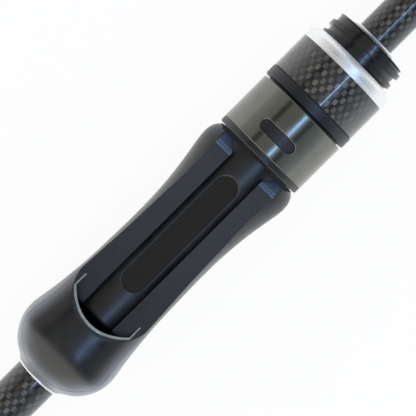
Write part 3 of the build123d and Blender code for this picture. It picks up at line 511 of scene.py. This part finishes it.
# %% [markdown]
# ## Helpers for pieces
# Nearly every part of a rod was turned, so nearly every new piece is a profile spun round the axis. The
# profile's corners are rounded first, while they are still a few points, because an edge with no radius
# catches no light. A closed profile spins into a ring; one that starts and ends on the axis spins into a
# solid with two poles. A node whose shape is right is dressed: it stays where it is and its plain colour
# gives way to a finish. A node that only needs smoother shading is copied, its loose triangles merged into
# one skin.

# %% Turn a profile into a piece
SEGMENTS = 128
MERGE = 0.0005 * MM
SMOOTH_BELOW = radians(32)


def keep_piece(shape, name, finish, body, node):
    """Makes the bmesh a piece that rides on a body and stands for a node, with a finish."""
    mesh = bpy.data.meshes.new(name)
    shape.to_mesh(mesh)
    shape.free()
    for face in mesh.polygons:
        face.use_smooth = True
    mesh.set_sharp_from_angle(angle=SMOOTH_BELOW)
    mesh.materials.append(FINISHES[finish])
    piece = bpy.data.objects.new(name, mesh)
    bpy.context.scene.collection.objects.link(piece)
    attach(piece, body)
    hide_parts(node)


def spun(profile, rounding=0.0, closed=True):
    """A bmesh spun round the rod's axis from (along, out) points in metres."""
    shape = bmesh.new()
    points = [shape.verts.new((along, 0.0, out)) for along, out in profile]
    for first, second in zip(points, points[1:]):
        shape.edges.new((first, second))
    if closed:
        shape.edges.new((points[-1], points[0]))
    if rounding:
        corners = [p for p in shape.verts if len(p.link_edges) == 2]
        bmesh.ops.bevel(
            shape, geom=corners, offset=rounding, offset_type="OFFSET", segments=3, profile=0.5,
            affect="VERTICES", clamp_overlap=True, material=-1,
        )
    bmesh.ops.spin(
        shape, geom=shape.verts[:] + shape.edges[:], cent=(0, 0, 0), axis=(1, 0, 0), angle=2 * pi,
        steps=SEGMENTS, use_merge=True,
    )
    bmesh.ops.remove_doubles(shape, verts=shape.verts, dist=MERGE)
    bmesh.ops.recalc_face_normals(shape, faces=shape.faces)
    return shape


def reach(node):
    """Where a turned node starts and ends along the rod, and its outer radius."""
    low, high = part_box(node)
    return low.x, high.x, (high.y - low.y) / 2


print("a turned node, for example nut_ring:", [round(v / MM, 2) for v in reach("nut_ring")])


# %% Dress a measured node or copy it
def dress(node, finish):
    """Gives a measured node, whose own shape is right, a finish in place of its plain colour."""
    for material_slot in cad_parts[node].material_slots:
        material_slot.material = FINISHES[finish]


def keep_copy(node, name, finish, body):
    """Makes a merged copy of a measured node a piece of its own."""
    shape = bmesh.new()
    shape.from_mesh(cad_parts[node].data)
    bmesh.ops.remove_doubles(shape, verts=shape.verts, dist=MERGE)
    bmesh.ops.dissolve_degenerate(shape, edges=shape.edges, dist=MERGE)
    keep_piece(shape, name, finish, body, node)


print("helpers for pieces ready")

# %% [markdown]
# ## The reel seat
# The seat's swelling body, its rails, hood and thread are one moulding whose shape the measured model
# already has, so that node stays and only gets its own finish. The pale liner of the hood's pocket and the
# glossy lozenge between the rails are separate parts pressed into it, and they stay too. The foam arbors
# under the seat are merged copies, and the bright ring behind it is turned anew with an edge that catches
# light.

# %% Seat, liner, lozenge and the arbors under it
RING_EDGE = 0.2 * MM
dress("seat_body", "seat_plastic")
dress("fixed_hood_liner", "liner_metal")
dress("seat_window_plate", "window_gloss")
keep_copy("seat_arbor_rear", "seat_arbor_rear_foam", "arbor_foam", "rod")
keep_copy("seat_arbor_front", "seat_arbor_front_foam", "arbor_foam", "rod")

start, end, out = reach("seat_rear_ring")
profile = [
    (start, handle_tube_r), (start, out - RING_EDGE), (start + RING_EDGE, out), (end, out),
    (end, handle_tube_r),
]
keep_piece(spun(profile, 0.06 * MM), "seat_trim_ring", "aluminium", "rod", "seat_rear_ring")
print("seat pieces made")

# %% [markdown]
# ## The sliding hood and the lock nut
# The sliding hood is a plated shell over a black insert, with a slot cut in its top that shows the insert:
# the measured nodes stay, each with its finish. The lock nut turns on the hood's collar. Its black core
# stays as well, while its sleeve of carbon cloth and its bright ring are turned anew, because the ring's
# lathe grooves have to be real for light to break on them.

# %% Hood, snap ring, and the nut's core and sleeve
SLEEVE_WALL = 0.78 * MM
dress("hood_shell", "gunmetal")
dress("hood_insert", "hood_plastic")
dress("hood_snap_ring", "spring_steel")
dress("nut_core", "hood_plastic")

start, end, out = reach("nut_sleeve")
profile = [(start, out - SLEEVE_WALL), (start, out), (end, out), (end, out - SLEEVE_WALL)]
keep_piece(spun(profile, 0.08 * MM), "nut_cloth_sleeve", "nut_cloth", "nut", "nut_sleeve")
print("hood and sleeve made")

# %% The bright ring of the nut, with its grooves
GROOVES = 5
GROOVE_DEPTH = 0.035 * MM
RING_WALL = 1.12 * MM          # over the core
RING_FACE = 1.2 * MM           # the part in front of the core, which reaches further in
FACE_DEPTH = 2.12 * MM
CHAMFER_LENGTH, CHAMFER_DEPTH = 1.4 * MM, 1.75 * MM
start, end, out = reach("nut_ring")
inner, bore, face = out - RING_WALL, out - FACE_DEPTH, end - RING_FACE
grooved_from, grooved_to = start + 0.3 * MM, end - CHAMFER_LENGTH + 0.02 * MM
pitch = (grooved_to - grooved_from) / GROOVES
profile = [(start, inner), (start, out)]
for groove in range(GROOVES):
    crest = grooved_from + groove * pitch
    profile += [(crest, out), (crest + pitch / 2, out - GROOVE_DEPTH)]
profile += [(grooved_to, out), (end, out - CHAMFER_DEPTH), (end, bore), (face, bore), (face, inner)]
keep_piece(spun(profile, 0.04 * MM), "nut_bright_ring", "aluminium", "nut", "nut_ring")
print("nut ring made, pitch of its grooves in mm:", round(pitch / MM, 2))

# %% [markdown]
# ## The handle
# From the butt: a plated cap, a foam grip that thins towards the front, a bright ring, and a length of the
# handle's woven tube that runs into the seat. All of them are turned, so each is a spun profile.

# %% Butt cap
DISH_DEPTH = 0.35 * MM         # of the ring-shaped dish in the cap's face
DISH_INNER, DISH_OUTER = 4.0 * MM, 9.4 * MM
DISH_SLOPE = 0.4 * MM          # width of its slanting sides
CAP_FLOOR = 4 * MM             # thickness behind the face
BAND_DEPTH, BAND_SLOPE = 0.3 * MM, 0.3 * MM
start, end, out = reach("butt_cap")
dish, floor_x = start + DISH_DEPTH, start + CAP_FLOOR
band_start, band_end = end - 3.4 * MM, end - 2.4 * MM
profile = [
    (start, 0.0), (start, DISH_INNER), (dish, DISH_INNER + DISH_SLOPE), (dish, DISH_OUTER - DISH_SLOPE),
    (start, DISH_OUTER), (start, out - 1.6 * MM), (start + 0.6 * MM, out - 0.5 * MM),
    (start + 1.8 * MM, out), (band_start, out), (band_start + BAND_SLOPE, out - BAND_DEPTH),
    (band_end - BAND_SLOPE, out - BAND_DEPTH), (band_end, out), (end - 0.8 * MM, out),
    (end, out - 0.6 * MM), (end, handle_tube_r), (floor_x, handle_tube_r), (floor_x, 0.0),
]
keep_piece(spun(profile, 0.12 * MM, closed=False), "butt_plated_cap", "gunmetal", "rod", "butt_cap")
print("butt cap made")

# %% Grip
WAIST_STEPS = 14
WAIST_LENGTH = 22 * MM
GRIP_EDGE = 0.6 * MM
STEEPNESS = 0.85               # 0 is a straight cone and 1 a full S
start, end, out = reach("rear_grip")
front_out = reach("rear_grip_ring")[2] - 0.2 * MM
profile = [(start, handle_tube_r), (start, out - GRIP_EDGE), (start + GRIP_EDGE, out)]
for step in range(WAIST_STEPS + 1):
    share = step / WAIST_STEPS
    fall = share * share * (3 - 2 * share) * STEEPNESS + share * (1 - STEEPNESS)
    profile.append((end - WAIST_LENGTH * (1 - share), out + (front_out - out) * fall))
profile.append((end, handle_tube_r))
keep_piece(spun(profile), "foam_grip", "grip_foam", "rod", "rear_grip")
print("grip made, front radius in mm:", round(front_out / MM, 2))

# %% Grip ring and handle tube
MOUTH_HALF, FLOOR_HALF = 0.4 * MM, 0.2 * MM     # of the one groove round the ring
start, end, out = reach("rear_grip_ring")
middle, groove_r = (start + end) / 2, out - 0.25 * MM
profile = [
    (start, handle_tube_r), (start, out), (middle - MOUTH_HALF, out), (middle - FLOOR_HALF, groove_r),
    (middle + FLOOR_HALF, groove_r), (middle + MOUTH_HALF, out), (end - 1.2 * MM, out),
    (end, out - 1.6 * MM), (end, handle_tube_r),
]
keep_piece(spun(profile, 0.1 * MM), "grip_bright_ring", "aluminium", "rod", "rear_grip_ring")

blank_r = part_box("butt_blank")[1].y
start, end, out = reach("handle_tube")
profile = [(start, blank_r), (start, out), (end, out), (end, blank_r)]
keep_piece(spun(profile), "handle_cloth_tube", "handle_cloth", "rod", "handle_tube")
print("grip ring and handle tube made")

# %% [markdown]
# ## The blank
# The blank starts in the handle at 9.4 mm across and ends 1.6 mm across at the tip. Woven cloth covers its
# first part, down to a band of thread; the two sections meet at a spigot ferrule, with a short gap left
# open, as anglers want it. A bright winding check closes the front of the seat.

# %% Winding check, woven front and trim band
start, end, out = reach("front_winding_check")
profile = [
    (start, blank_r), (start, out - 0.1 * MM), (start + 0.15 * MM, out), (end, out - 0.7 * MM),
    (end, blank_r),
]
keep_piece(spun(profile, 0.04 * MM), "bright_winding_check", "aluminium", "rod", "front_winding_check")

start, end, out = reach("woven_sleeve")
profile = [(start, blank_r), (start, out), (end, out), (end, blank_r)]
keep_piece(spun(profile), "front_cloth_tube", "front_cloth", "rod", "woven_sleeve")
keep_copy("sleeve_trim_band", "trim_thread_band", "thread_wrap", "rod")
print("woven front made")

# %% The two sections of the blank and their ferrule
NOSE_LENGTH, NOSE_DEPTH = 1.0 * MM, 0.6 * MM
keep_copy("butt_blank", "butt_section", "blank_carbon", "rod")
keep_copy("tip_blank", "tip_section", "blank_carbon", "tip")

start, end, out = reach("ferrule_spigot")
profile = [(start, 0.0), (start, out), (end - NOSE_LENGTH, out), (end, out - NOSE_DEPTH), (end, 0.0)]
keep_piece(spun(profile, 0.1 * MM, closed=False), "spigot", "blank_carbon", "rod", "ferrule_spigot")
keep_copy("butt_ferrule_wrap", "butt_ferrule_wrap_thread", "thread_wrap", "rod")
keep_copy("tip_ferrule_wrap", "tip_ferrule_wrap_thread", "thread_wrap", "tip")
print("blank made")

# %% [markdown]
# ## Line guides
# Each guide is a ceramic ring in a steel holder on wire legs, with its feet bound to the blank. All three
# parts are merged copies of the measured shapes: the ceramic is polished for the line, the steel is
# smoked, and the thread lies under resin. The first guide sits on the butt section, the others on the tip
# section.

# %% Guides, tip-top and hook keeper
tip_guides = ["guide_%d" % number for number in range(2, 8)] + ["tip_top"]
bodies = {"guide_1": "rod", **{guide: "tip" for guide in tip_guides}}
for guide, body in bodies.items():
    keep_copy(guide + "_ring", guide + "_ceramic", "guide_ceramic", body)
    keep_copy(guide + "_frame", guide + "_steel", "guide_metal", body)
    keep_copy(guide + "_wrap", guide + "_thread", "thread_wrap", body)
keep_copy("hook_keeper", "keeper_wire", "guide_metal", "rod")
keep_copy("hook_keeper_wrap", "keeper_thread", "thread_wrap", "rod")
print("guides made", len(bodies))

# %% [markdown]
# ## Floor and studio
# The rod lies over a plain white floor in a soft white studio. The world gives most of the light: pale
# walls on both sides, a dimmer ceiling over the rod, and two dark bands where the edges of the ceiling's
# cloth hang. It is brightest past the butt and cooler past the tip. A pale blue window beside the camera,
# with a bright strip in its middle, gives the line of light that runs down every glossy part.

# %% Floor
floor_shape = bmesh.new()
bmesh.ops.create_grid(floor_shape, x_segments=1, y_segments=1, size=6.0)
bmesh.ops.translate(floor_shape, verts=floor_shape.verts, vec=(0.9, 0.0, cad_low.z))
floor_mesh = bpy.data.meshes.new("floor")
floor_shape.to_mesh(floor_mesh)
floor_shape.free()
floor = bpy.data.objects.new("floor", floor_mesh)
bpy.context.scene.collection.objects.link(floor)

material = bpy.data.materials.new("floor_paper")
material.use_nodes = True
tree = material.node_tree
tree.nodes.clear()
ray = add_node(tree, "ShaderNodeLightPath").outputs
seen_or_mirrored = maths(tree, "MAXIMUM", ray["Is Camera Ray"], ray["Is Glossy Ray"])
seen = maths(tree, "MAXIMUM", seen_or_mirrored, ray["Is Transmission Ray"])
paper = add_node(tree, "ShaderNodeBsdfDiffuse", {"Color": (0.80, 0.80, 0.80, 1.0)}).outputs[0]
thin_paper = add_node(tree, "ShaderNodeBsdfDiffuse", {"Color": (0.10, 0.10, 0.10, 1.0)}).outputs[0]
white = add_node(tree, "ShaderNodeEmission", {"Color": (1.0, 1.0, 1.0, 1.0), "Strength": 0.92}).outputs[0]
bright = add_node(tree, "ShaderNodeAddShader", {0: white, 1: thin_paper}).outputs[0]
mixed = add_node(tree, "ShaderNodeMixShader", {0: seen, 1: paper, 2: bright}).outputs[0]
add_node(tree, "ShaderNodeOutputMaterial", {"Surface": mixed})
floor_mesh.materials.append(material)
print("floor at", round(cad_low.z / MM, 1), "mm")

# %% World: the studio as an angle round the rod, brighter past its butt
STUDIO = [                     # degrees from straight up, turned towards +Y, and the colour there
    (-180, (0.85, 0.88, 0.95)), (-94, (0.95, 1.02, 1.15)), (-84, (0.62, 0.68, 0.74)),
    (-60, (0.36, 0.42, 0.43)), (-47, (0.36, 0.41, 0.42)), (-43, (0.10, 0.11, 0.13)),
    (-34, (0.10, 0.11, 0.13)), (-29, (0.36, 0.39, 0.44)), (0, (0.42, 0.41, 0.39)),
    (29, (0.42, 0.41, 0.38)), (34, (0.12, 0.12, 0.11)), (43, (0.13, 0.13, 0.12)),
    (47, (0.50, 0.49, 0.46)), (60, (0.52, 0.51, 0.48)), (84, (0.72, 0.71, 0.67)),
    (94, (1.0, 0.98, 0.95)), (180, (0.85, 0.88, 0.95)),
]
PAST_BUTT, PAST_TIP = (1.60, 1.58, 1.50), (0.52, 0.60, 0.74)
world = bpy.data.worlds.new("studio")
bpy.context.scene.world = world
world.use_nodes = True
tree = world.node_tree
tree.nodes.clear()
view = add_node(tree, "ShaderNodeTexCoord").outputs["Generated"]
direction = add_node(tree, "ShaderNodeSeparateXYZ", {0: view}).outputs
turn = maths(tree, "ARCTAN2", direction["Y"], direction["Z"])
ramp_node = add_node(tree, "ShaderNodeValToRGB", {"Fac": ranged(tree, turn, -pi, pi)})
stops = ramp_node.color_ramp.elements
while len(stops) < len(STUDIO):
    stops.new(0.5)
for stop, (angle, colour) in zip(stops, STUDIO):
    stop.position = (angle + 180) / 360
    stop.color = (*colour, 1.0)
past_butt = ranged(tree, direction["X"], -0.30, -0.75, smooth=True)
past_tip = ranged(tree, direction["X"], 0.30, 0.70, smooth=True)
sides = blended(tree, past_tip, blended(tree, past_butt, ramp_node.outputs[0], PAST_BUTT), PAST_TIP)
ray = add_node(tree, "ShaderNodeLightPath").outputs
lit = add_node(tree, "ShaderNodeBackground", {"Color": sides, "Strength": 1.0}).outputs[0]
plain = add_node(tree, "ShaderNodeBackground", {"Color": (1.0, 1.0, 1.0, 1.0), "Strength": 1.0}).outputs[0]
mixed = add_node(tree, "ShaderNodeMixShader", {0: ray["Is Camera Ray"], 1: lit, 2: plain}).outputs[0]
add_node(tree, "ShaderNodeOutputWorld", {"Surface": mixed})
print("world", world.name, "with", len(stops), "stops")

# %% A pale blue window beside the camera, and the bright strip in the middle of it
LAMP_TURN = radians(-17.5)
LAMP_START, LAMP_END = 0.08, 1.1


def lamp(name, radiance, colour, width, distance):
    """A rectangle of light that hangs along the rod, turned round it, and faces it."""
    data = bpy.data.lights.new(name, "AREA")
    data.shape = "RECTANGLE"
    data.size = LAMP_END - LAMP_START
    data.size_y = width
    data.color = colour
    data.energy = radiance * pi * data.size * data.size_y
    made = bpy.data.objects.new(name, data)
    hung = Vector(((LAMP_START + LAMP_END) / 2, distance * sin(LAMP_TURN), distance * cos(LAMP_TURN)))
    made.matrix_world = Matrix.Translation(hung) @ Matrix.Rotation(-LAMP_TURN, 4, "X")
    bpy.context.scene.collection.objects.link(made)


lamp("window", 0.7, (0.55, 0.72, 1.0), 0.36, 1.22)
lamp("strip", 9.0, (0.26, 0.52, 1.0), 0.075, 1.2)
print("studio ready")
